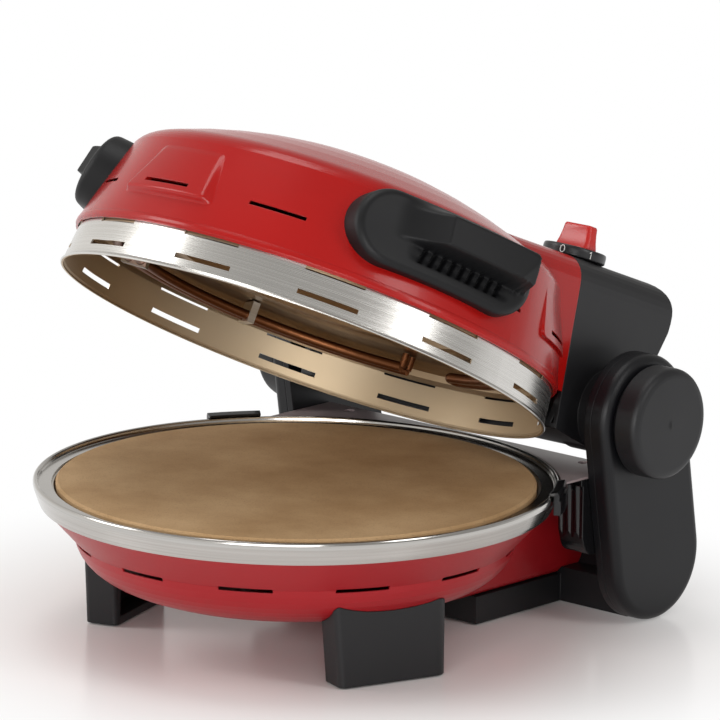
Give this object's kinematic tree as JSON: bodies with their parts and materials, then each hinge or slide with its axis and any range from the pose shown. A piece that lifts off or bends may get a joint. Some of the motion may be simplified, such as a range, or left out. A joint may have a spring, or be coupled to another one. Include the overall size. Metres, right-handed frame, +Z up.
{
  "type": "electric pizza maker",
  "caption": "Countertop pizza oven with a round stone base, a domed red lid on a rear hinge between two black towers, side grips and a dial.",
  "frame": {"origin": "centre of the object's footprint box on the table, with the lid standing open as in the picture", "axes": "+X to the side of the dial (the object's own right seen from behind the grips), +Y to the hinge at the back, +Z up"},
  "size_m": [0.3668, 0.4116, 0.3383],
  "materials": {
    "lid_paint": "gloss baked enamel",
    "base_paint": "gloss baked enamel",
    "band_steel": "brushed",
    "ring_steel": "polished",
    "reflector": "satin, heat tinted",
    "pan_steel": "satin",
    "element": "oxidised brown",
    "clip_steel": "satin",
    "deck_sheet": "satin",
    "black_plastic": "fine spark texture",
    "gloss_black": "polished",
    "rubber": "matt",
    "screw_steel": "zinc plated",
    "stone": "unglazed, fine grained",
    "ceramic_white": "unglazed steatite",
    "brass": "turned",
    "thermostat": "satin",
    "cream_plastic": "moulded",
    "red_plastic": "gloss"
  },
  "bodies": {
    "base": {"base_shell": "base_paint", "base_ring": "ring_steel", "lower_pan": "pan_steel", "lower_element": "element", "lower_clips": "clip_steel", "deck_plate": "deck_sheet", "rear_beam": "black_plastic", "foot_left": "black_plastic", "foot_right": "black_plastic", "rubber_pads": "rubber", "base_screws": "screw_steel", "tower_left": "black_plastic", "tower_right": "black_plastic", "tower_cover_left": "black_plastic", "tower_cover_right": "black_plastic", "pivot_cap_left": "black_plastic", "pivot_cap_right": "black_plastic", "hinge_pin_left": "screw_steel", "hinge_pin_right": "screw_steel", "side_clip_left": "gloss_black", "side_clip_right": "gloss_black", "terminal_block": "ceramic_white", "cable_gland": "black_plastic"},
    "stone": {"pizza_stone": "stone"},
    "lid": {"lid_shell": "lid_paint", "lid_band": "band_steel", "lid_reflector": "reflector", "upper_element": "element", "upper_clips": "clip_steel", "thermostat": "thermostat", "grip_left": "black_plastic", "grip_right": "black_plastic", "hinge_housing": "black_plastic", "hinge_bushes": "brass", "timer_body": "cream_plastic", "dial_collar": "gloss_black"},
    "dial": {"dial_disc": "black_plastic", "dial_grip": "red_plastic", "dial_shaft": "screw_steel"}
  },
  "joints": [
    {"name": "lid_hinge", "type": "hinge", "parent": "base", "child": "lid", "pos_m": [0, 0.13862, 0.1374], "axis": [-1, 0, 0], "range_deg": [-28.4, 51.6]},
    {"name": "dial_turn", "type": "hinge", "parent": "lid", "child": "dial", "pos_m": [0.08, 0.14055, 0.23306], "axis": [0, 0.3583, 0.9336], "range_deg": [0, 270]},
    {"name": "stone_lift", "type": "slide", "parent": "base", "child": "stone", "axis": [0, 0, 1], "range_m": [0, 0.006]}
  ]
}
